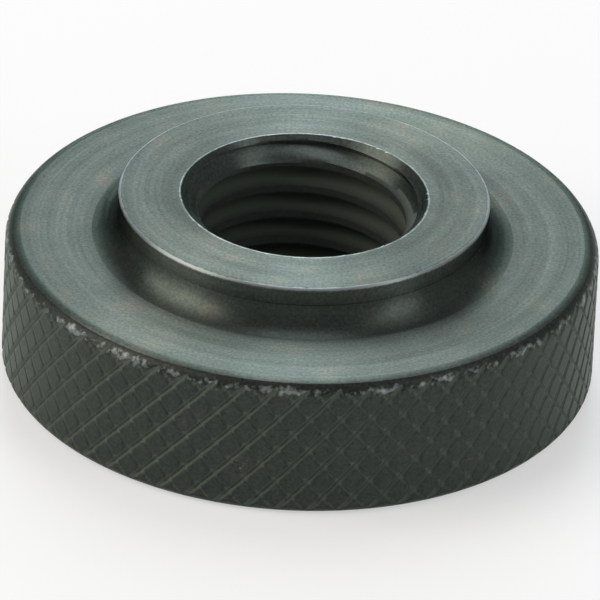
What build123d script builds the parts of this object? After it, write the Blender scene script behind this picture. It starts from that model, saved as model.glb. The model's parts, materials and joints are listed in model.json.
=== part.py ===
"""Knurled thumb nut: a turned disc with a diamond-knurled rim, a low boss and a bore for an M16 thread.

It is one solid. Z points up the thread's axis, and the origin is the centre of the face it rests on.
"""

from build123d import *
from math import cos, degrees, pi, radians, sin, sqrt, tan
import os

# Driving dimensions, in millimetres and degrees
THREAD_D = 16.0
THREAD_PITCH = 2.0
SINK_MARGIN = 0.3  # how much wider than the thread's outside the countersinks open, on each side
SINK_SLOPE = 45.0  # the countersinks' walls, from the axis
THREAD_FLANK = 30.0  # half the angle between the thread's flanks
BOSS_WALL = 4.5  # from the thread's outside to the boss's
BOSS_H = 3.0
DISC_LIP = 7.5  # from the boss's side to the knurl's crests
DISC_H = 10.0

TOP_ROUND = 1.0  # the disc's upper edge
BOTTOM_ROUND = 0.8  # the disc's lower edge
ROOT_FILLET = 1.7  # the hollow corner between boss and disc
BOSS_EDGE = 0.25  # the boss's upper edge, just broken

KNURL_PITCH = 1.6  # straight across the grooves
KNURL_LEAN = 40.0  # how far the grooves aim to lean from the axis
GROOVE_ANGLE = 90.0
CREST_SHARE = 0.71  # the part of each pitch left flat on top
KNURL_STEP = 0.04  # how far the knurl's root stands out from the rounded edges

# Worked out from the above
boss_r = THREAD_D / 2 + BOSS_WALL
rim_r = boss_r + DISC_LIP
total_h = DISC_H + BOSS_H
thread_r = THREAD_D / 2
root_flat = THREAD_PITCH / 8  # at the bottom of the thread's groove
crest_flat = THREAD_PITCH / 4  # what the tapping drill leaves between its turns
thread_depth = (THREAD_PITCH - root_flat - crest_flat) / 2 / tan(radians(THREAD_FLANK))
minor_r = thread_r - thread_depth

starts = round(2 * pi * rim_r * cos(radians(KNURL_LEAN)) / KNURL_PITCH)  # grooves of each hand
half_pitch = pi / starts  # from a diamond's middle to its corner, in radians
groove_depth = (1 - CREST_SHARE) * KNURL_PITCH / 2 / tan(radians(GROOVE_ANGLE / 2))
root_r = rim_r - groove_depth
core_r = root_r * cos(half_pitch) - KNURL_STEP


def round_drop(edge_radius):
    """How far a rounded edge has come away from its flat face where it meets the core's radius."""
    across = core_r - (rim_r - edge_radius)
    return edge_radius - sqrt(edge_radius**2 - across**2)


knurl_low = round_drop(BOTTOM_ROUND)
knurl_high = DISC_H - round_drop(TOP_ROUND)
knurl_h = knurl_high - knurl_low
rows = 2 * round(knurl_h * tan(radians(KNURL_LEAN)) / (half_pitch * rim_r) / 2)  # even, so the ends match
row_h = knurl_h / rows


def turned_core():
    """Everything made on the lathe, in to the knurl's root."""
    body = extrude(Circle(rim_r), DISC_H)
    body = fillet(body.edges().sort_by(Axis.Z)[-1], TOP_ROUND)
    body = fillet(body.edges().sort_by(Axis.Z)[0], BOTTOM_ROUND)
    body += extrude(Circle(boss_r), total_h)
    at_face = body.edges().filter_by(GeomType.CIRCLE).filter_by_position(Axis.Z, DISC_H, DISC_H)
    body = fillet(at_face.sort_by(SortBy.LENGTH)[0], ROOT_FILLET)
    body = fillet(body.edges().sort_by(Axis.Z)[-1], BOSS_EDGE)

    sink_r = thread_r + SINK_MARGIN
    sink_h = (sink_r - minor_r) / tan(radians(SINK_SLOPE))
    sink = Cone(minor_r, sink_r, sink_h, align=(Align.CENTER, Align.CENTER, Align.MAX))
    body -= Pos(Z=total_h) * sink
    body -= mirror(sink, Plane.XY)
    return body & extrude(Circle(core_r), total_h)


def tap():
    """The threaded space up the middle: a drilled hole and a groove that climbs round it, both overlong."""
    start = -THREAD_PITCH
    overlap = THREAD_PITCH / 8  # how far inside the drilled hole the groove begins
    half_mouth = root_flat / 2 + (thread_depth + overlap) * tan(radians(THREAD_FLANK))
    lower = [Vector(minor_r - overlap, 0, start - half_mouth), Vector(thread_r, 0, start - root_flat / 2)]
    upper = [Vector(thread_r, 0, start + root_flat / 2), Vector(minor_r - overlap, 0, start + half_mouth)]
    climb = Pos(Z=start) * Helix(THREAD_PITCH, total_h + 2 * THREAD_PITCH, minor_r)
    drilled = Pos(Z=2 * start) * extrude(Circle(minor_r), total_h + 4 * THREAD_PITCH)
    return drilled + sweep(flat_face(*lower, *upper), path=climb, is_frenet=True)


def in_quarters(faces):
    """Faces that wind round the axis, cut into quarter turns, which are easier to measure than whole ones."""
    for plane in (Plane.XZ, Plane.YZ):
        faces = split(faces, bisect_by=plane, keep=Keep.BOTH).faces()
    return faces


def at(radius, angle, height):
    return Vector(radius * cos(angle), radius * sin(angle), height)


def flat_face(*corners):
    return Face(Wire.make_polygon(corners, close=True))


def knurl():
    """The rim's skin: flat-topped diamonds between crossing grooves, bevelled off at both ends."""
    side = at(root_r, half_pitch, 0)
    tip = at(root_r, 0, row_h)
    crest_side = at(rim_r, CREST_SHARE * half_pitch, 0)
    # The crest's tip lies where the flank's plane meets the crest's, so that every face is flat.
    normal = (tip - side).cross(crest_side - side)
    crest_tip = Vector(crest_side.X, 0, crest_side.Y * normal.Y / normal.Z)
    other_side, other_crest_side = [Vector(point.X, -point.Y, 0) for point in (side, crest_side)]
    lower_crest_tip = Vector(crest_tip.X, 0, -crest_tip.Z)

    flank = flat_face(side, crest_side, crest_tip, tip)
    upper = [flank, mirror(flank, Plane.XZ)]
    lower = [mirror(face, Plane.XY) for face in upper]
    diamond = upper + lower + [flat_face(crest_side, crest_tip, other_crest_side, lower_crest_tip)]

    end_flank = flat_face(side, crest_tip, tip)
    low_end = [end_flank, mirror(end_flank, Plane.XZ), flat_face(side, other_side, crest_tip)]
    high_end = [mirror(face, Plane.XY) for face in low_end]

    faces = []
    for row in range(rows + 1):
        pieces = low_end if row == 0 else high_end if row == rows else diamond
        for start in range(starts):
            turn = (2 * start + row % 2) * half_pitch
            place = Pos(Z=knurl_low + row * row_h) * Rot(Z=degrees(turn))
            faces += [place * face for face in pieces]
    return faces


def ledge(height):
    """The narrow ring between an end of the knurl, which has straight sides, and the round edge inside it."""
    corners = [at(root_r, (2 * start + 1) * half_pitch, height) for start in range(starts)]
    return Face(Wire.make_polygon(corners, close=True), [Wire.make_circle(core_r, Plane.XY.offset(height))])


core = turned_core() - tap()
walls = core.faces().filter_by(GeomType.CYLINDER)
hidden_wall = walls.sort_by(SortBy.AREA)[-1]
thread_crests = [face for face in walls if face.radius < thread_r]
plain = [face for face in core.faces() if face != hidden_wall and face not in thread_crests]
ends = [ledge(knurl_low), ledge(knurl_high)]
thumb_nut = Solid(Shell(plain + in_quarters(thread_crests) + ends + knurl()))
thumb_nut.label = "thumb_nut"

os.makedirs("parts", exist_ok=True)
export_step(thumb_nut, "parts/thumb_nut.step")
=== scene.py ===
# %% [markdown]
# # A knurled thumb nut
#
# This notebook dresses one turned part: a thick steel disc with a diamond-knurled rim, a low boss, and a
# threaded hole through the middle. The CAD model gives the frame, and every size below is in millimetres in
# that frame until it is written into a mesh, because a machinist's drawing is in millimetres too.

# %% Load the frame
import json
import math

import bmesh
import bpy
import numpy as np
from mathutils import Matrix, Vector

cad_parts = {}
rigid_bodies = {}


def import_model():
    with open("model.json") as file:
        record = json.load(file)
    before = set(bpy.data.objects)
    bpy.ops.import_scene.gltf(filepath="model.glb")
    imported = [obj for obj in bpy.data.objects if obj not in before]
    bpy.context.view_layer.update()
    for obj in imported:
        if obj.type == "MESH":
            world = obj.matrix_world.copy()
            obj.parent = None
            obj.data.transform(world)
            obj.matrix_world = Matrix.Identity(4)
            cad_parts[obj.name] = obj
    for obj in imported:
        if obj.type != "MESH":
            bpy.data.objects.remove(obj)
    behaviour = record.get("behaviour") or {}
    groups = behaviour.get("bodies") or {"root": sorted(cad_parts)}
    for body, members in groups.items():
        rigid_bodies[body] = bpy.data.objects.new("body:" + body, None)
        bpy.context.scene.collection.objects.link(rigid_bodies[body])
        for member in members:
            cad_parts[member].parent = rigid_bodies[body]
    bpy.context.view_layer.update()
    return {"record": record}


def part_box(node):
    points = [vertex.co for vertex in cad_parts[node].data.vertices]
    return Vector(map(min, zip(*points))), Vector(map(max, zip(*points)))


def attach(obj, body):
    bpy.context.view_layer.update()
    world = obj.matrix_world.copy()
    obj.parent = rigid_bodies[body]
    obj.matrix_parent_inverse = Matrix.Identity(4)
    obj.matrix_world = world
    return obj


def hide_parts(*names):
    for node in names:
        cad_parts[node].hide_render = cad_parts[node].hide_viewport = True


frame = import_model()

MM = 0.001  # metres in a millimetre
low, high = [np.array(corner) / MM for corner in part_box("thumb_nut")]
print("CAD box in mm:", low.round(2), high.round(2))

# %% [markdown]
# ## The sizes that everything follows
#
# The rim's radius and the height come from the CAD node itself, and the thread's size from the mount that
# the part states for its screw. The rest are the drawing's own dimensions. Keeping them in one cell means
# that the visual mesh can't drift away from the solid that it stands for.

# %% Sizes
thread_mount = next(mount for mount in frame["record"]["mounts"] if mount["name"] == "thread")
THREAD_MINOR_R = thread_mount["dims"]["r_mm"]
THREAD_WALL = thread_mount["dims"]["length_mm"]
THREAD_PITCH = 2.0
THREAD_DEPTH = 5 / 8 * math.sqrt(3) / 2 * THREAD_PITCH  # five eighths of a sharp V, as in every metric thread

TOTAL_H = float(high[2])
RIM_R = round(float(high[0]), 1)  # the box is measured on facets, which lie a hair inside the true radius
SINK_H = (TOTAL_H - THREAD_WALL) / 2
SINK_R = THREAD_MINOR_R + SINK_H
BOSS_H = 3.0
DISC_H = TOTAL_H - BOSS_H
BOSS_R = 12.5
TOP_ROUND = 1.0
BOTTOM_ROUND = 0.8
ROOT_FILLET = 1.7
BOSS_EDGE = 0.25
TOOL_LINE = 0.025  # a fine line cut where the form tool for the hollow corner stopped

KNURL_STARTS = 60
KNURL_ROWS = 8
GROOVE_DEPTH = 0.232
CREST_SHARE = 0.71  # the part of the pitch that is left flat on top
KNURL_STEP = 0.04  # how far the knurl's root stands out from the rounded edges
half_pitch = math.pi / KNURL_STARTS  # from a diamond's middle to its corner, as an angle
core_r = (RIM_R - GROOVE_DEPTH) * math.cos(half_pitch) - KNURL_STEP


def round_drop(edge_radius):
    """How far a rounded edge has come away from its flat face where it meets the knurl's root."""
    return edge_radius - math.sqrt(edge_radius**2 - (core_r - RIM_R + edge_radius) ** 2)


KNURL_LOW = round_drop(BOTTOM_ROUND)
ROW_H = (DISC_H - round_drop(TOP_ROUND) - KNURL_LOW) / KNURL_ROWS
print(f"rim {2 * RIM_R} mm across, {TOTAL_H:.1f} mm high")
print(f"thread from {THREAD_MINOR_R:.2f} to {THREAD_MINOR_R + THREAD_DEPTH:.2f} mm radius")

# %% [markdown]
# ## How the mesh is put together
#
# A lathe makes rings, so the mesh is made of rings too: each is one circle of points, and neighbouring
# rings are joined by a band of faces. The other usual way, a Screw modifier on a profile, can't carry a
# knurl or a thread. Here the knurl and the thread are both simply a radius that depends on the angle and
# the height, so the same ring helper makes all of it, and the nut comes out as one closed skin.
#
# Each face goes on one of four lists, by how it was cut, because flat faces, turned sides, knurl and thread
# reflect differently. Each point also carries two numbers that the materials read: how much it gets rubbed,
# and how much dust lies on it, which also marks where the grooves are painted paler as fill light against
# their shade.

# %% Rings and bands
points = []
worn = []  # for each point, how much it is rubbed: 0 is never, and at about 1 the steel is bare
dust_and_painted_fill = []  # for each point, how much dust lies there and how much fill light is painted there, from 0 to 1
faced, turned, knurled, threaded = [], [], [], []


def ring(angles, radii, heights, wear=0.0, dust_and_fill=0.0):
    """Adds one circle of points and returns their numbers."""
    first = len(points)
    values = [np.broadcast_to(value, angles.shape) for value in (radii, heights, wear, dust_and_fill)]
    radii, heights, wear, dust_and_fill = values
    points.extend(zip(radii * np.cos(angles), radii * np.sin(angles), heights))
    worn.extend(wear)
    dust_and_painted_fill.extend(dust_and_fill)
    return list(range(first, first + len(angles)))


def band(lower, upper, finish):
    """Joins two rings with as many points as each other."""
    for i in range(len(lower)):
        j = (i + 1) % len(lower)
        finish.append((lower[i], lower[j], upper[j], upper[i]))


def stepping_band(fine, coarse):
    """Joins a fine ring to one with fewer points, by a fan of triangles to each coarse point."""
    ratio = len(fine) // len(coarse)
    half = ratio // 2
    for i, near in enumerate(coarse):
        far = coarse[(i + 1) % len(coarse)]
        fan = [fine[(i * ratio + k) % len(fine)] for k in range(ratio + 1)]
        faced.extend((fan[k], fan[k + 1], near) for k in range(half))
        faced.extend((fan[k], fan[k + 1], far) for k in range(half, ratio))
        faced.append((fan[half], far, near))


# %% [markdown]
# ## The diamond knurl
#
# A knurl is rolled or cut by two wheels whose teeth lean opposite ways. Each leaves a family of V-grooves,
# and what stands between them is a diamond with a flat top. Seen on the unrolled rim, the distance to the
# nearest groove of each family says how deep the surface is, so one formula gives every diamond. The points
# are laid out so that the grooves run exactly along face edges; a grid that ignored them would show saw
# teeth.
#
# The grooves that fall to the right look shallower than the others, as they do when one of the two wheels
# presses less. That family is therefore drawn half as deep as the CAD model has it, and the rest follows
# the model.

# %% The knurl's radius
STEPS = 7  # points from a diamond's middle to its corner
FALLING_SHARE = 0.5  # how deep the grooves that fall to the right are, beside the ones that rise
RIM_POINTS = 2 * STEPS * KNURL_STARTS
rim_angles = np.arange(RIM_POINTS) * 2 * math.pi / RIM_POINTS
crest_edge_r = RIM_R * math.cos(CREST_SHARE * half_pitch)  # the diamonds' tops are flat, not round


def groove(from_middle, share):
    """How deep a V-groove is at a place across its pitch: 0 is between two grooves, and 0.5 is in one."""
    half_width = 0.5 - 0.5 * CREST_SHARE
    return GROOVE_DEPTH * np.clip((np.abs(from_middle) - 0.5) / half_width + share, 0, share)


def knurl_radius(angles, height):
    """Out to the nearest diamond's flat top, less the deeper of the two grooves that cross there."""
    across = angles / half_pitch
    up = (height - KNURL_LOW) / ROW_H
    falling, rising = [place - np.round(place) for place in ((up + across) / 2, (up - across) / 2)]
    top = crest_edge_r / np.cos((falling - rising) * half_pitch)
    return top - np.maximum(groove(falling, FALLING_SHARE), groove(rising, 1))


one_pitch = np.linspace(0, 2 * half_pitch, 2 * STEPS + 1)
print("radius in mm along one pitch:", knurl_radius(one_pitch, KNURL_LOW + ROW_H / 2).round(2))

# %% [markdown]
# ## The rim
#
# The rim was knurled first and its two edges were rounded afterwards, so at each height the radius is the
# smaller of the knurl's and the rounded outline's. Fingers and benches meet the upper shoulder first, so
# the wear is highest there, and a little of it lies on all the diamonds' tops. Dust stays in the grooves,
# and the same numbers paint the grooves paler, as fill light against their shade.

# %% The rim, from the lower edge to the upper one
ARC = [math.radians(angle) for angle in range(6, 91, 6)]  # a rounded edge's rings, from its side to its flat
KNURLED_ARC = math.radians(60)  # the knurl's grooves run out on the rounded edges beyond this
CREST_WEAR = 0.35
CREST_REACH = 0.12  # how far below the diamonds' tops a finger still rubs
SHOULDER_WEAR = 0.65
SHOULDER_REACH = 0.35
DUST_AND_FILL_DEPTH = 0.4  # from this share of a groove's depth inwards, it holds all the dust and painted fill light that it can


def rounded_radius(height):
    """The rim's outline with its two rounded edges, before it is knurled."""
    into_top = max(0.0, height - (DISC_H - TOP_ROUND))
    into_bottom = max(0.0, BOTTOM_ROUND - height)
    top = RIM_R - TOP_ROUND + math.sqrt(max(0.0, TOP_ROUND**2 - into_top**2))
    bottom = RIM_R - BOTTOM_ROUND + math.sqrt(max(0.0, BOTTOM_ROUND**2 - into_bottom**2))
    return min(top, bottom)


def rim_ring(height):
    """One ring of the rim, with its wear, and its dust with the painted fill light."""
    radii = np.minimum(knurl_radius(rim_angles, height), rounded_radius(height))
    on_crest = np.clip(1 - (RIM_R - radii) / CREST_REACH, 0, 1)
    on_shoulder = math.exp(-((height - (DISC_H - TOP_ROUND / 2)) / SHOULDER_REACH) ** 2)
    # The grooves' dust, which also paints them paler as fill light against their shade
    dust_and_fill = np.clip((rounded_radius(height) - radii) / GROOVE_DEPTH / DUST_AND_FILL_DEPTH, 0, 1)
    return ring(rim_angles, radii, height, CREST_WEAR * on_crest + SHOULDER_WEAR * on_shoulder, dust_and_fill)


def knurl_band(lower, upper, row):
    """Joins two rings of the knurl's grid with triangles whose long sides run along the grooves."""
    for i in range(RIM_POINTS):
        j = (i + 1) % RIM_POINTS
        if (i // STEPS + row // STEPS) % 2 == 0:
            knurled.append((lower[i], lower[j], upper[i]))
            knurled.append((lower[j], upper[j], upper[i]))
        else:
            knurled.append((lower[i], lower[j], upper[j]))
            knurled.append((lower[i], upper[j], upper[i]))


grid = [(row, KNURL_LOW + row * ROW_H / STEPS) for row in range(KNURL_ROWS * STEPS + 1)]
grid = [(row, height) for row, height in grid if BOTTOM_ROUND < height < DISC_H - TOP_ROUND]

bottom_edge = [(angle, rim_ring(BOTTOM_ROUND * (1 - math.sin(angle)))) for angle in reversed(ARC)]
straight = [(row, rim_ring(height)) for row, height in grid]
top_edge = [(angle, rim_ring(DISC_H - TOP_ROUND * (1 - math.sin(angle)))) for angle in ARC]
for (angle, lower), (_, upper) in zip(bottom_edge, bottom_edge[1:] + [(0, straight[0][1])]):
    band(lower, upper, turned if angle > KNURLED_ARC else knurled)
for (row, lower), (_, upper) in zip(straight[:-1], straight[1:]):
    knurl_band(lower, upper, row)
for (_, lower), (angle, upper) in zip([(0, straight[-1][1])] + top_edge[:-1], top_edge):
    band(lower, upper, turned if angle > KNURLED_ARC else knurled)
print(f"knurl: {KNURL_STARTS} starts each way, {len(bottom_edge + straight + top_edge)} rings")

# %% [markdown]
# ## The turned faces and the boss
#
# Inside the rim everything is plain turning: a flat, a hollow corner, the boss's wall, its just-broken edge
# and its face. These need far fewer points round the circle, so a fan of triangles on the flat, where it
# can't be seen, steps the rim's points down to a quarter. The boss's edge and the countersinks' edges stick
# out, so they are the places where the oxide rubs through first.

# %% Turned profile
BODY_POINTS = RIM_POINTS // 4
body_angles = np.arange(BODY_POINTS) * 2 * math.pi / BODY_POINTS
FLAT_MARGIN = 0.3  # a narrow ring of flat face beside each edge keeps the shading of the flat clean
CORNER_STEPS = 14
EDGE_STEPS = 6
TOOL_LINE_RISE = 0.01  # the line is deepest this far above the hollow corner
EDGE_WEAR = 1.4  # the boss's edge and the upper countersink's
NEAR_WEAR, FAR_WEAR = 1.1, 0.5  # on the boss's face, half way out and all the way out on the rubbed ring
RUBBED_RING = 0.16  # how far onto the boss's face the countersink's edge is rubbed
LOWER_WEAR = 1.0  # the lower countersink's edge


def arc_points(centre_r, centre_z, radius, start, end, steps):
    """Points along a quarter circle of the profile, from one angle to another in degrees."""
    angles = [math.radians(start + (end - start) * k / steps) for k in range(steps + 1)]
    return [(centre_r + radius * math.cos(a), centre_z + radius * math.sin(a)) for a in angles]


def turn(profile):
    """Rings for a list of (radius, height, wear), joined into one skin."""
    rings = [ring(body_angles, radius, height, wear) for radius, height, wear in profile]
    heights = [height for _, height, _ in profile]
    for k in range(len(rings) - 1):
        flat = heights[k] == heights[k + 1]
        on_boss_edge = heights[k] >= TOTAL_H - BOSS_EDGE
        band(rings[k], rings[k + 1], faced if flat or on_boss_edge else turned)
    return rings


def step_down(edge_ring, radius, height):
    """A fine ring on the flat just inside an edge, and the radius of the coarse ring inside that."""
    fine = ring(rim_angles, radius, height)
    band(edge_ring, fine, faced)
    return fine, radius - FLAT_MARGIN


hollow_corner = arc_points(BOSS_R + ROOT_FILLET, DISC_H + ROOT_FILLET, ROOT_FILLET, 270, 180, CORNER_STEPS)
corner_top = DISC_H + ROOT_FILLET
tool_line = [(BOSS_R - TOOL_LINE, corner_top + TOOL_LINE_RISE), (BOSS_R, corner_top + 2 * TOOL_LINE)]
boss_edge = arc_points(BOSS_R - BOSS_EDGE, TOTAL_H - BOSS_EDGE, BOSS_EDGE, 0, 90, EDGE_STEPS)

top_fine, top_flat_r = step_down(top_edge[-1][1], RIM_R - TOP_ROUND - FLAT_MARGIN, DISC_H)
top_rings = turn(
    [(top_flat_r, DISC_H, 0.0), (BOSS_R + ROOT_FILLET + FLAT_MARGIN, DISC_H, 0.0)]
    + [(r, z, 0.0) for r, z in hollow_corner + tool_line]
    + [(r, z, EDGE_WEAR * math.sin(math.pi * k / EDGE_STEPS)) for k, (r, z) in enumerate(boss_edge)]
    + [(BOSS_R - BOSS_EDGE - FLAT_MARGIN, TOTAL_H, 0.0), (SINK_R + FLAT_MARGIN, TOTAL_H, 0.0)]
    + [(SINK_R + RUBBED_RING, TOTAL_H, FAR_WEAR), (SINK_R + RUBBED_RING / 2, TOTAL_H, NEAR_WEAR)]
    + [(SINK_R, TOTAL_H, EDGE_WEAR)]
)
stepping_band(top_fine, top_rings[0])

bottom_fine, bottom_flat_r = step_down(bottom_edge[0][1], RIM_R - BOTTOM_ROUND - FLAT_MARGIN, 0)
bottom_rings = turn([(bottom_flat_r, 0, 0.0), (SINK_R + FLAT_MARGIN, 0, 0.0), (SINK_R, 0, LOWER_WEAR)])
stepping_band(bottom_fine, bottom_rings[0])
print(f"turned body: {len(top_rings) + len(bottom_rings)} rings of {BODY_POINTS} points")

# %% [markdown]
# ## The thread
#
# An internal metric thread is a 60 degree V with a wide flat left at its inner edge and a narrow one at the
# bottom. Wrapping its profile round a helix could be done with a sweep, but the two countersinks then have
# to be cut out of it. Taking the larger of the thread's radius and the countersink's, point by point, does
# the same cut with no boolean. The rows of points climb with the thread, so its edges stay clean, and rows
# that climb past an end are held there and merged.

# %% Threaded bore
CREST_HALF = 1 / 8  # half the flat at the thread's inner edge, as a share of the pitch
ROOT_HALF = 1 / 16  # half the flat in the bottom of its groove
# The rows of points in one turn, as shares of the pitch up from the bottom of the groove
half_turn_places = [0, ROOT_HALF, 0.11, 0.17, 0.24, 0.31, 0.5 - CREST_HALF, 0.5]
places = half_turn_places + [1 - place for place in half_turn_places[-2:0:-1]]


def thread_radius(angles, heights):
    """The tapped bore's radius, and how much dust and painted fill light its groove holds there.

    The bottom of the groove crosses zero height at zero angle.
    """
    place = 0.5 - np.abs((heights / THREAD_PITCH - angles / (2 * math.pi)) % 1 - 0.5)
    # place is 0 in the bottom of the groove, and 0.5 in the middle of the inner flat
    out = np.clip((0.5 - CREST_HALF - place) / (0.5 - CREST_HALF - ROOT_HALF), 0, 1)
    return THREAD_MINOR_R + THREAD_DEPTH * out, np.clip(out / DUST_AND_FILL_DEPTH, 0, 1)


def sink_radius(heights):
    """The nearer countersink's wall, which lies inside the bore between the two of them."""
    return SINK_R - np.minimum(heights, TOTAL_H - heights)


bore_angles = np.arange(BODY_POINTS + 1) * 2 * math.pi / BODY_POINTS
climb = THREAD_PITCH * bore_angles / (2 * math.pi)
bore_rows = []
for turn_number in range(-2, math.ceil(TOTAL_H / THREAD_PITCH) + 1):
    for place in places:
        heights = np.clip((turn_number + place) * THREAD_PITCH + climb, 0, TOTAL_H)
        radii, dust_and_fill = thread_radius(bore_angles, heights)
        radii = np.maximum(radii, sink_radius(heights))
        bore_rows.append((heights, ring(bore_angles, radii, heights, dust_and_fill=dust_and_fill)))
for (lower_heights, lower), (upper_heights, upper) in zip(bore_rows[:-1], bore_rows[1:]):
    for i in range(BODY_POINTS):
        face_height = (lower_heights[i] + upper_heights[i + 1]) / 2
        in_sink = not SINK_H < face_height < TOTAL_H - SINK_H
        (turned if in_sink else threaded).append((lower[i + 1], lower[i], upper[i], upper[i + 1]))
print(f"thread: {len(bore_rows)} rows, pitch {THREAD_PITCH} mm")

# %% [markdown]
# ## One closed mesh
#
# Rings that meet end to end are merged here, and the flattened faces where the thread's rows were held at
# an end are dissolved. Counting the edges that don't have exactly two faces shows at once whether a band
# was missed. Every face is shaded smooth, and the true corners are then marked sharp. The edges that a tool
# cut are crisp, while rolling and handling have left the knurl's softer, so those only count as sharp when
# they are steeper.

# %% One closed mesh
FINISHES = {"faced": faced, "turned": turned, "knurled": knurled, "threaded": threaded}
KNURL_SLOT = list(FINISHES).index("knurled")
SHARP_WHEN_CUT = math.radians(30)
SHARP_WHEN_ROLLED = math.radians(60)
MERGE = 1e-7  # metres

mesh = bpy.data.meshes.new("nut_skin")
in_metres = [tuple(MM * value for value in point) for point in points]
mesh.from_pydata(in_metres, [], sum(FINISHES.values(), []))
mesh.attributes.new("worn", "FLOAT", "POINT").data.foreach_set("value", worn)
mesh.attributes.new("dust_and_painted_fill", "FLOAT", "POINT").data.foreach_set("value", dust_and_painted_fill)
slots = [number for number, faces in enumerate(FINISHES.values()) for face in faces]
mesh.polygons.foreach_set("material_index", slots)

skin = bmesh.new()
skin.from_mesh(mesh)
bmesh.ops.remove_doubles(skin, verts=skin.verts, dist=MERGE)
bmesh.ops.dissolve_degenerate(skin, edges=skin.edges, dist=MERGE)
bmesh.ops.recalc_face_normals(skin, faces=skin.faces)
open_edges = sum(1 for edge in skin.edges if len(edge.link_faces) != 2)
triangles = sum(len(face.verts) - 2 for face in skin.faces)
for face in skin.faces:
    face.smooth = True
for edge in skin.edges:
    rolled = all(face.material_index == KNURL_SLOT for face in edge.link_faces)
    edge.smooth = edge.calc_face_angle() < (SHARP_WHEN_ROLLED if rolled else SHARP_WHEN_CUT)
skin.to_mesh(mesh)
skin.free()
nut = bpy.data.objects.new("nut_body", mesh)
bpy.context.collection.objects.link(nut)
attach(nut, "root")
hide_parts("thumb_nut")
print(f"nut: {triangles} triangles, {open_edges} open edges")

# %% [markdown]
# ## Colour and node helpers
#
# Colours are written as the hex values that a colour picker shows, and turned to the linear values that the
# renderer works in. One small function adds any node, so a material reads as a list of what feeds what.

# %% Helpers for materials


def linear(hex_colour):
    """An sRGB colour such as "#8a8f88" as the linear values that Blender's sockets hold."""
    channels = [int(hex_colour[k:k + 2], 16) / 255 for k in (1, 3, 5)]
    return [c / 12.92 if c <= 0.04045 else ((c + 0.055) / 1.055) ** 2.4 for c in channels] + [1.0]


def add(tree, kind, settings=None, **inputs):
    """Adds a node. Inputs are named, or numbered as _0 and _1, and take a value, an output or a node."""
    node = tree.nodes.new("ShaderNode" + kind)
    for name, value in (settings or {}).items():
        setattr(node, name, value)
    for name, value in inputs.items():
        socket = node.inputs[int(name[1:]) if name[0] == "_" else name.replace("_", " ")]
        if isinstance(value, bpy.types.Node):
            value = value.outputs[0]
        if isinstance(value, bpy.types.NodeSocket):
            tree.links.new(value, socket)
        else:
            socket.default_value = value
    return node


def new_material(name):
    """An empty material, and the node tree to build it in."""
    material = bpy.data.materials.new(name)
    material.use_nodes = True
    material.node_tree.nodes.clear()
    return material, material.node_tree


print("mid grey in linear values:", [round(value, 3) for value in linear("#808080")[:3]])

# %% [markdown]
# ## Black-oxide steel
#
# Black oxide is a thin skin of magnetite grown on the steel itself. It is too thin to hide the tool marks,
# and it stays a conductor, so it is drawn as a metal whose reflection has been dimmed to about a tenth.
# That gives the eye a dark surface that is never flat black: it picks up a broad sheen wherever it faces
# the lamp. A painted look, with a dark diffuse colour and a clear gloss over it, would be brighter at the
# edges and dead on the faces.
#
# The bath doesn't take evenly, which leaves slow blotches with a trace of brown in them, and the steel's
# own grain shows as a fine speckle. Both are plain noise. Every pattern's size here is in millimetres.

# %% Colours, grain and blotches
OXIDE = "#575f5a"
BROWN_OXIDE = "#5f5f58"  # where the bath left a trace of rust
BARE_STEEL = "#9ba3a2"
# Dust in the grooves, painted paler than the dark oxide beside it as fill light against the grooves' shade
DUST_AND_PAINTED_FILL = "#586158"
GRAIN = 0.2  # the real grain is under a tenth of this, which is too fine to show
BLOTCH = 2.4
BLOTCH_CONTRAST = 0.4
RUST_START, RUST_FULL = 0.55, 0.8  # where the blotches' noise begins to show rust, and shows all of it
print("oxide reflects", [round(value, 3) for value in linear(OXIDE)[:3]])

# %% [markdown]
# ### Tool rings
#
# The lathe tool leaves rings. One noise is stretched round the axis to draw them: its coordinates are how
# far along the profile a point lies, which changes fast, and which way it faces from the axis, which
# changes slowly. A wave texture could draw rings too, but they would all be alike and perfectly round.

# %% Tool rings
HEIGHT_WEIGHT = 1.7  # the height counts for more than the radius, so that a 45 degree slope gets rings too
BROAD_RINGS = 0.15  # how many broad rings, where the cut drifted, there are to each fine one
FINE_TURN, BROAD_TURN = 1.5, 0.7  # how much each kind of ring changes on its way round


def tool_rings(tree, place, feed):
    """Fine rings that are feed mm apart, and the broad ones."""
    height = add(tree, "SeparateXYZ", Vector=place).outputs["Z"]
    outward = add(tree, "VectorMath", {"operation": "MULTIPLY"}, _0=place, _1=(1, 1, 0))
    radius = add(tree, "VectorMath", {"operation": "LENGTH"}, _0=outward).outputs["Value"]
    direction = add(tree, "VectorMath", {"operation": "NORMALIZE"}, _0=outward)
    facing = add(tree, "SeparateXYZ", Vector=direction)
    along = add(tree, "Math", {"operation": "MULTIPLY_ADD"}, _0=height, _1=HEIGHT_WEIGHT, _2=radius)
    ring_place = add(tree, "CombineXYZ", X=along, Y=facing.outputs["X"], Z=facing.outputs["Y"])
    fine = add(tree, "Mapping", Vector=ring_place, Scale=(1 / feed, FINE_TURN, FINE_TURN))
    broad = add(tree, "Mapping", Vector=ring_place, Scale=(BROAD_RINGS / feed, BROAD_TURN, BROAD_TURN))
    fine_rings = add(tree, "TexNoise", Vector=fine, Scale=1.0, Detail=2.0)
    broad_rings = add(tree, "TexNoise", Vector=broad, Scale=1.0, Detail=1.0)
    return fine_rings, broad_rings


print(f"a broad ring is as wide as {1 / BROAD_RINGS:.1f} fine ones")

# %% [markdown]
# ### Pits
#
# A blackened part has a few small dark pits. A Voronoi pattern fills space with cells whose middles lie
# unevenly, and gives each cell a colour of its own. The colour picks out one cell in ten, and the distance
# from its middle draws the pit.

# %% Pits
PIT_SPACING = 1.6
PIT_REACH = 0.12  # from a pit's middle to where its edge has faded out, and it begins to fade half way
PIT_SHARE = 0.1
PIT_SHADE = 0.3


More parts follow.
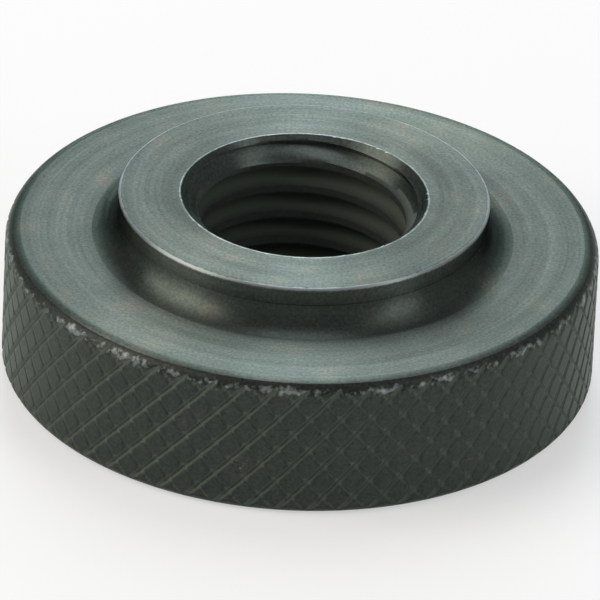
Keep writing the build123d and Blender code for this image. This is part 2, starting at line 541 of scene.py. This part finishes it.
def pits(tree, place):
    """How bright the skin is beside its clean self: 1 where it is whole, and PIT_SHADE in a pit."""
    cell = add(tree, "TexVoronoi", Vector=place, Scale=1 / PIT_SPACING)
    edge = PIT_REACH / PIT_SPACING
    off_pit = add(tree, "MapRange", Value=cell.outputs["Distance"], From_Min=edge / 2, From_Max=edge)
    number = add(tree, "SeparateColor", Color=cell.outputs["Color"])
    no_pit = add(tree, "Math", {"operation": "LESS_THAN"}, _0=number, _1=1 - PIT_SHARE)
    whole = add(tree, "Math", {"operation": "MAXIMUM"}, _0=off_pit, _1=no_pit)
    return add(tree, "MapRange", Value=whole, To_Min=PIT_SHADE, To_Max=1)


print(f"pits: in one of {1 / PIT_SHARE:.0f} cells, each about {PIT_SPACING} mm across")

# %% [markdown]
# ### Bare steel
#
# Where hands and other parts rub, the oxide thins and the steel comes through. The mesh says how much each
# point is rubbed. Small specks and larger patches of noise are added before that is compared with a limit,
# so a worn edge is never one clean line.

# %% Bare steel
RUB_SPECK = 0.4  # the spots that the oxide wears off in
RUB_PATCHINESS = 0.8  # how much the blotches count beside those spots
RUB_START, RUB_FULL = 1.52, 1.95  # where wear and noise together begin to show steel, and show nothing else


def bare_share(tree, place, blotch):
    """How much of the surface is bare steel, from 0 to 1."""
    rubbed = add(tree, "Attribute", {"attribute_name": "worn"}).outputs["Fac"]
    specks = add(tree, "TexNoise", Vector=place, Scale=1 / RUB_SPECK, Detail=3.0)
    patches = add(tree, "Math", {"operation": "MULTIPLY_ADD"}, _0=blotch, _1=RUB_PATCHINESS, _2=specks)
    rub_level = add(tree, "Math", {"operation": "ADD"}, _0=rubbed, _1=patches)
    return add(tree, "MapRange", Value=rub_level, From_Min=RUB_START, From_Max=RUB_FULL)


mean_noise = 0.5 * (1 + RUB_PATCHINESS)
print(f"on average, steel shows from a wear of {RUB_START - mean_noise:.2f} to {RUB_FULL - mean_noise:.2f}")

# %% [markdown]
# ### One recipe for four finishes
#
# The four finishes are one steel that was cut in four ways, so one function makes them all. It lays the
# patterns over each other, then dust with painted fill light, then bare steel, and gives the same rings and
# grain a real height for the bump. Dust and dried oil stay in the grooves of the knurl and the thread, where
# nothing rubs. They are no metal, and they are painted paler, as fill light against the grooves' shade.
#
# Tone is how bright the finish is beside clean oxide. Grazing is the tint that the metal takes at a flat
# angle: polished metal turns white there, and most of this skin stays greyer, by a matched amount.
#
# Most of the real rings are too fine to be seen one by one. Together they blur every reflection across
# themselves, as brush marks do. That is the anisotropy: its direction runs round the axis, and a quarter
# turn puts the blur across the rings instead of along them.

# %% The recipe
ROUGHNESS_SPREAD = 0.06
DUST_ROUGHNESS = 0.3
RING_RELIEF = 0.02  # how high a tool ring stands, as a share of the feed
GRAIN_RELIEF = 0.0015  # mm
QUARTER_TURN = 0.25


def steel_finish(
    name, tone_and_painted_shade, roughness, feed, ring_contrast, grain_contrast, grazing,
    dust_and_fill=0.0, metallic=1.0, anisotropy=0.0,
):
    """Black-oxide steel whose tool rings are feed mm apart."""
    material, tree = new_material(name)
    object_place = add(tree, "TexCoord").outputs["Object"]
    place = add(tree, "VectorMath", {"operation": "SCALE"}, _0=object_place, Scale=1 / MM)
    fine_rings, broad_rings = tool_rings(tree, place, feed)
    grain = add(tree, "TexNoise", Vector=place, Scale=1 / GRAIN, Detail=2.0)
    blotch = add(tree, "TexNoise", Vector=place, Scale=1 / BLOTCH, Detail=3.0)

    # Tone is partly painted shade: it is set per finish for how each part is lit, brighter on the flats and
    # darker on the turned curves, the knurl and the thread
    # How bright the oxide is: each pattern lightens or darkens it by half its contrast either way
    level = tone_and_painted_shade
    shades = [(fine_rings, ring_contrast), (broad_rings, ring_contrast)]
    shades += [(grain, grain_contrast), (blotch, BLOTCH_CONTRAST)]
    for pattern, contrast in shades:
        shade = add(tree, "MapRange", Value=pattern, To_Min=1 - contrast / 2, To_Max=1 + contrast / 2)
        level = add(tree, "Math", {"operation": "MULTIPLY"}, _0=level, _1=shade)
    level = add(tree, "Math", {"operation": "MULTIPLY"}, _0=level, _1=pits(tree, place))

    # The colour, and how rough and how metallic the surface is, first for clean oxide and then under dust and
    # painted fill light
    rusty = add(tree, "MapRange", Value=blotch, From_Min=RUST_START, From_Max=RUST_FULL)
    hue = add(tree, "Mix", {"data_type": "RGBA"}, Factor=rusty, _6=linear(OXIDE), _7=linear(BROWN_OXIDE))
    colour = add(tree, "VectorMath", {"operation": "SCALE"}, _0=hue.outputs[2], Scale=level)
    smoothest, roughest = roughness - ROUGHNESS_SPREAD, roughness + ROUGHNESS_SPREAD
    uneven = add(tree, "MapRange", Value=fine_rings, To_Min=smoothest, To_Max=roughest)
    metal_share = metallic
    if dust_and_fill:
        dust_and_fill_share = add(tree, "Attribute", {"attribute_name": "dust_and_painted_fill"}).outputs["Fac"]
        dust_and_fill_cover = add(tree, "MapRange", Value=dust_and_fill_share, To_Max=dust_and_fill)
        # Dust and painted fill light: the grooves are mixed towards a paler colour that lifts their shade
        colour = add(tree, "Mix", {"data_type": "RGBA"}, Factor=dust_and_fill_cover, _6=colour, _7=linear(DUST_AND_PAINTED_FILL)).outputs[2]
        uneven = add(tree, "Math", {"operation": "MULTIPLY_ADD"}, _0=dust_and_fill_cover, _1=DUST_ROUGHNESS, _2=uneven)
        metal_share = add(tree, "MapRange", Value=dust_and_fill_cover, To_Min=metallic, To_Max=0)
    bare = bare_share(tree, place, blotch)
    colour = add(tree, "Mix", {"data_type": "RGBA"}, Factor=bare, _6=colour, _7=linear(BARE_STEEL)).outputs[2]

    # The same rings and grain as a real height
    relief = add(tree, "Math", {"operation": "MULTIPLY"}, _0=grain, _1=GRAIN_RELIEF)
    ring_height = RING_RELIEF * feed
    relief = add(tree, "Math", {"operation": "MULTIPLY_ADD"}, _0=fine_rings, _1=ring_height, _2=relief)
    bump = add(tree, "Bump", Strength=1.0, Distance=MM, Height=relief)
    steel = add(
        tree, "BsdfPrincipled", Base_Color=colour, Metallic=metal_share, Roughness=uneven, Normal=bump,
        Specular_Tint=linear(grazing),
    )
    if anisotropy:
        steel.inputs["Anisotropic"].default_value = anisotropy
        steel.inputs["Anisotropic Rotation"].default_value = QUARTER_TURN
        around = add(tree, "Tangent", {"direction_type": "RADIAL", "axis": "Z"})
        tree.links.new(around.outputs[0], steel.inputs["Tangent"])
    add(tree, "OutputMaterial", Surface=steel)
    return material


print(f"roughness varies by {ROUGHNESS_SPREAD} either way, and full dust adds {DUST_ROUGHNESS}")

# %% [markdown]
# ### The four finishes
#
# They go on the mesh in the order of the four face lists. The real feed marks are about 0.1 mm apart, which
# is too fine to show in a view of the whole nut, so they are drawn a little coarser.
#
# The faced flats have the clearest rings, and give the eye a silky sheen in a fan that turns with the
# light. The turned curves are smoother and darker, and show the lamps as soft streaks. The knurl was
# rolled, not cut, so it has no rings to speak of: the eye gets dull dark diamonds between grooves painted
# paler, with dust and with fill light against their shade. Cutting oil has dried in the tapped thread and it
# is hardly touched, so it looks almost black and matt, with little of the metal left. These tones are partly
# painted shade: the flats are made bright and the curves, the knurl and the thread dark on one oxide, for
# how each of them is lit.

# %% The four finishes
FEED = 0.16
# The tones below are partly painted shade, on one and the same oxide: high on the flats, low on the curves,
# the knurl and the thread
faced_steel = steel_finish(
    "black_oxide_faced_steel", tone_and_painted_shade=1.25, roughness=0.46, feed=FEED, ring_contrast=0.75, grain_contrast=1.2,
    grazing="#c0c0c0", anisotropy=0.95,
)
turned_steel = steel_finish(
    "black_oxide_turned_steel", tone_and_painted_shade=0.82, roughness=0.38, feed=FEED, ring_contrast=0.4, grain_contrast=1.0,
    grazing="#606060", anisotropy=0.93,
)
knurled_steel = steel_finish(
    "black_oxide_knurled_steel", tone_and_painted_shade=0.26, roughness=0.42, feed=0.4, ring_contrast=0.1, grain_contrast=2.2,
    grazing="#f4fff4", dust_and_fill=0.7, metallic=0.65,
)
tapped_steel = steel_finish(
    "black_oxide_tapped_steel", tone_and_painted_shade=0.36, roughness=0.6, feed=0.3, ring_contrast=0.2, grain_contrast=0.9,
    grazing="#808080", dust_and_fill=0.7, metallic=0.1,
)
for material in (faced_steel, turned_steel, knurled_steel, tapped_steel):
    mesh.materials.append(material)
print("materials:", [material.name for material in mesh.materials])

# %% [markdown]
# ## The floor
#
# The nut lies on a sheet of matt white card, which gives it a soft contact shadow and lights it from below.
# Seen by the camera, or in the steel's reflections, the card is lifted half of the way to plain white, as
# in a catalogue. Doing that with brighter lamps would bleach the steel too.

# %% Floor
FLOOR_SIZE = 3.0  # metres, so that its edges are out of sight
FLOOR_GAP = 0.01  # mm, so that the card and the nut's underside don't lie in one plane
CARD_WHITENING = 0.5

bpy.ops.mesh.primitive_plane_add(size=FLOOR_SIZE, location=(0, 0, -FLOOR_GAP * MM))
floor = bpy.context.object
floor.name = "pale_card"
card, card_tree = new_material("matt_card")
lit = add(card_tree, "BsdfDiffuse", Color=linear("#f4f5f5"))
white = add(card_tree, "Emission", Color=linear("#ffffff"), Strength=1.0)
rays = add(card_tree, "LightPath").outputs
seen = add(card_tree, "Math", {"operation": "ADD"}, _0=rays["Is Camera Ray"], _1=rays["Is Glossy Ray"])
seen = add(card_tree, "Math", {"operation": "ADD"}, _0=seen, _1=rays["Is Transmission Ray"])
whitened = add(card_tree, "Math", {"operation": "MULTIPLY", "use_clamp": True}, _0=seen, _1=CARD_WHITENING)
shown = add(card_tree, "MixShader", _0=whitened, _1=lit, _2=white)
add(card_tree, "OutputMaterial", Surface=shown)
floor.data.materials.append(card)
print(f"card: {FLOOR_SIZE} m square")

# %% [markdown]
# ## The camera
#
# A small part is best seen from far off through a long lens, which keeps its near and far ends nearly the
# same size. The camera looks down at 30 degrees and is turned by a few degrees about its own line of sight,
# as a hand-held one is. Its view is only a little wider than the nut.

# %% Camera
CAMERA_ELEVATION = math.radians(30.3)
CAMERA_ROLL = math.radians(2.66)
CAMERA_DISTANCE = 0.8  # metres
VIEW_WIDTH = 40.367  # mm, at the nut
AIM_RIGHT, AIM_DOWN = 0.027, 4.465  # mm, from the middle of the disc's upper face to the middle of the view

back = Vector((0, -math.cos(CAMERA_ELEVATION), math.sin(CAMERA_ELEVATION)))
right = Vector((1, 0, 0))
up = back.cross(right)
aim = MM * (Vector((0, 0, DISC_H)) + AIM_RIGHT * right - AIM_DOWN * up)
camera_data = bpy.data.cameras.new("camera")
camera_data.sensor_width = 36  # mm, the usual full frame
camera_data.lens = camera_data.sensor_width * CAMERA_DISTANCE / (VIEW_WIDTH * MM)
camera = bpy.data.objects.new("camera", camera_data)
facing_nut = Matrix((right, up, back)).transposed().to_4x4() @ Matrix.Rotation(CAMERA_ROLL, 4, "Z")
camera.matrix_world = Matrix.Translation(aim + back * CAMERA_DISTANCE) @ facing_nut
bpy.context.collection.objects.link(camera)
bpy.context.scene.camera = camera
print(f"camera: {camera_data.lens:.0f} mm lens, {CAMERA_DISTANCE} m away")

# %% [markdown]
# ## The light
#
# Dark metal shows mostly what it reflects, so the lamps are placed by what the nut should mirror. A tall
# narrow box behind it, slightly blue, stands where the flats mirror it towards the camera, and gives them
# their sheen from front to back. A large warm box on the left and a smaller one on the right make the two
# streaks in the hollow corner. An even white world at a third of full strength fills the rest.

# %% Light
LAMP_DISTANCE = 0.7  # metres
FILL = 0.32


def soft_box(name, azimuth, elevation, width, height, brightness, colour="#ffffff"):
    """A soft box that faces the nut. Azimuth 0 is behind the camera, and 90 is on the right."""
    data = bpy.data.lights.new(name, "AREA")
    data.shape = "RECTANGLE"
    data.size, data.size_y = width, height
    data.energy = brightness * math.pi * width * height  # the same brightness whatever the box's size
    data.color = linear(colour)[:3]
    lamp = bpy.data.objects.new(name, data)
    a, e = math.radians(azimuth), math.radians(elevation)
    away = Vector((math.sin(a) * math.cos(e), -math.cos(a) * math.cos(e), math.sin(e)))
    lamp.location = away * LAMP_DISTANCE
    lamp.rotation_mode = "QUATERNION"
    lamp.rotation_quaternion = away.to_track_quat("Z", "Y")
    bpy.context.collection.objects.link(lamp)
    print(f"{name}: {data.energy:.1f} W")


soft_box("back_soft_box", azimuth=180, elevation=48, width=0.18, height=0.8, brightness=6.5, colour="#f4f9ff")
soft_box("left_soft_box", azimuth=-79, elevation=34, width=0.5, height=0.6, brightness=3.2, colour="#fff6e8")
soft_box("right_soft_box", azimuth=62, elevation=30, width=0.25, height=0.6, brightness=1.7)

world = bpy.data.worlds.new("studio")
world.use_nodes = True
world.node_tree.nodes["Background"].inputs["Color"].default_value = linear("#ffffff")
world.node_tree.nodes["Background"].inputs["Strength"].default_value = FILL
bpy.context.scene.world = world
bpy.context.scene.view_settings.view_transform = "Standard"
